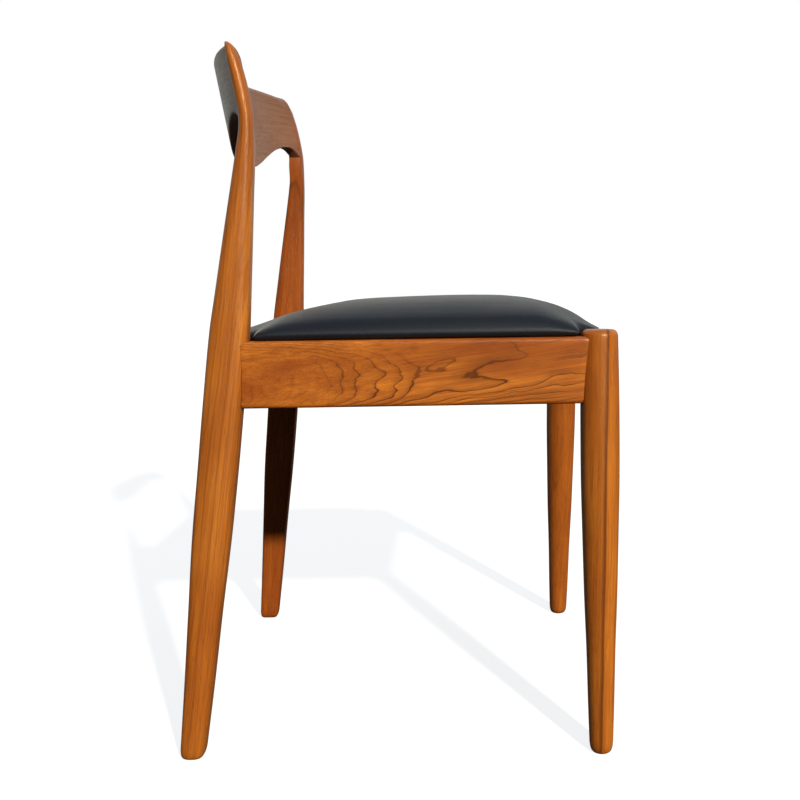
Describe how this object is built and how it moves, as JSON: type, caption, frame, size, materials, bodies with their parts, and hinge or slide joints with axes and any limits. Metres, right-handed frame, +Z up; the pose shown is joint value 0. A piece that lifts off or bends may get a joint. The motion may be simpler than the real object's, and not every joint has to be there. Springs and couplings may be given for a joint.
{
  "type": "dining chair",
  "caption": "Wooden dining chair with a padded leather seat, round tapered front legs, sculpted rear posts and a curved backrest board.",
  "frame": {"origin": "on the floor, under the middle of the chair's box", "axes": "+Z up, the sitter faces -Y, the sitter's right is -X"},
  "size_m": [0.4776, 0.4735, 0.7669],
  "materials": {
    "teak": "satin oiled teak",
    "teak_back": "satin oiled teak, browner on the backrest",
    "beech": "plain unfinished hardwood",
    "plywood": "raw plywood",
    "foam": "soft open-cell foam",
    "black_leather": "smooth semi-gloss",
    "dust_cloth": "matt woven cloth",
    "zinc_steel": "bright zinc plated"
  },
  "bodies": {
    "root": {"rear_leg_right": "teak", "rear_leg_left": "teak", "front_leg_right": "teak", "front_leg_left": "teak", "side_rail_right": "teak", "side_rail_left": "teak", "front_rail": "teak", "rear_rail": "teak", "backrest": "teak_back", "dowel_front_side_lower_right": "beech", "dowel_front_side_lower_left": "beech", "dowel_front_side_upper_right": "beech", "dowel_front_side_upper_left": "beech", "dowel_rear_side_lower_right": "beech", "dowel_rear_side_lower_left": "beech", "dowel_rear_side_upper_right": "beech", "dowel_rear_side_upper_left": "beech", "dowel_front_cross_lower_right": "beech", "dowel_front_cross_lower_left": "beech", "dowel_front_cross_upper_right": "beech", "dowel_front_cross_upper_left": "beech", "dowel_rear_cross_lower_right": "beech", "dowel_rear_cross_lower_left": "beech", "dowel_rear_cross_upper_right": "beech", "dowel_rear_cross_upper_left": "beech", "dowel_back_lower_right": "beech", "dowel_back_lower_left": "beech", "dowel_back_upper_right": "beech", "dowel_back_upper_left": "beech", "front_block_right": "beech", "front_block_left": "beech", "rear_block_right": "beech", "rear_block_left": "beech", "front_block_right_side_screw": "zinc_steel", "front_block_right_cross_screw": "zinc_steel", "front_block_left_side_screw": "zinc_steel", "front_block_left_cross_screw": "zinc_steel", "rear_block_right_side_screw": "zinc_steel", "rear_block_right_cross_screw": "zinc_steel", "rear_block_left_side_screw": "zinc_steel", "rear_block_left_cross_screw": "zinc_steel", "seat_screw_front_right": "zinc_steel", "seat_screw_front_left": "zinc_steel", "seat_screw_rear_right": "zinc_steel", "seat_screw_rear_left": "zinc_steel", "seat_board": "plywood", "seat_foam": "foam", "seat_cover": "black_leather", "dust_cover": "dust_cloth"}
  },
  "joints": []
}
